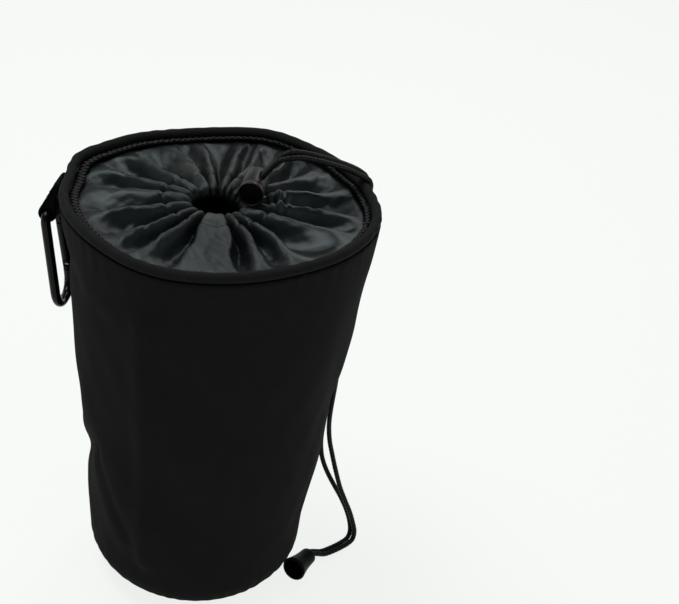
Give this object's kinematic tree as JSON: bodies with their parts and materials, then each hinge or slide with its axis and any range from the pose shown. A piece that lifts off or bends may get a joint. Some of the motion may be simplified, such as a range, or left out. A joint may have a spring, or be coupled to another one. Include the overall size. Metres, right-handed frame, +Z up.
{
  "type": "peg bag",
  "caption": "Tapered cloth peg bag with a piped round mouth, a drawcord collar with a sprung cord lock, and a webbing tab with a snap hook to hang it from a line.",
  "frame": {"origin": "centre of the flat base, on the floor", "axes": "+Z up along the bag's axis to the mouth; -X towards the webbing tab and snap hook; -Y towards the hook's spine"},
  "size_m": [0.1879, 0.1608, 0.2658],
  "materials": {
    "wall_cloth": "matte woven polyester",
    "trim_cloth": "matte tape and piping",
    "collar_nylon": "satin nylon",
    "cord_braid": "round braid",
    "lock_plastic": "moulded",
    "end_plastic": "moulded",
    "hook_metal": "gloss black",
    "bare_steel": "drawn wire"
  },
  "bodies": {
    "bag": {"side_wall": "wall_cloth", "base_panel": "wall_cloth", "base_seam_binding": "trim_cloth", "side_seam_binding": "trim_cloth", "rim_piping_cover": "trim_cloth", "rim_piping_core": "cord_braid", "rim_facing_tape": "trim_cloth", "gathered_collar": "collar_nylon", "drawcord_loop": "cord_braid", "drawcord_tail_a": "cord_braid", "drawcord_tail_b": "cord_braid", "cord_end_bell": "end_plastic", "cord_end_knot": "cord_braid"},
    "tab": {"tab_webbing": "trim_cloth"},
    "carabiner": {"carabiner_frame": "hook_metal", "gate_rivet": "bare_steel"},
    "gate": {"carabiner_gate": "hook_metal", "gate_latch_pin": "bare_steel", "gate_spring": "bare_steel", "gate_pusher": "bare_steel"},
    "lock": {"lock_barrel": "lock_plastic", "lock_spring": "bare_steel"},
    "plunger": {"lock_plunger": "lock_plastic"}
  },
  "joints": [
    {"name": "tab_flip", "type": "hinge", "parent": "bag", "child": "tab", "pos_m": [-0.08192, -0.004, 0.2342], "axis": [0, 1, 0], "range_deg": [0, 140]},
    {"name": "carabiner_swing", "type": "hinge", "parent": "tab", "child": "carabiner", "pos_m": [-0.08664, -0.004, 0.21797], "axis": [0, 1, 0], "range_deg": [0, 140]},
    {"name": "gate_open", "type": "hinge", "parent": "carabiner", "child": "gate", "pos_m": [-0.08532, 0.0065, 0.20725], "axis": [-0.9925, 0, -0.1219], "range_deg": [0, 28], "stiffness_Nm_per_rad": 0.02, "springref_deg": -17.19},
    {"name": "lock_slide", "type": "slide", "parent": "bag", "child": "lock", "axis": [0.5736, 0, 0.8192], "range_m": [0, 0.008]},
    {"name": "plunger_press", "type": "slide", "parent": "lock", "child": "plunger", "axis": [0, -1, 0], "range_m": [0, 0.0025], "stiffness_N_per_m": 60, "springref_m": -0.002, "deforming": ["lock_spring"]}
  ]
}
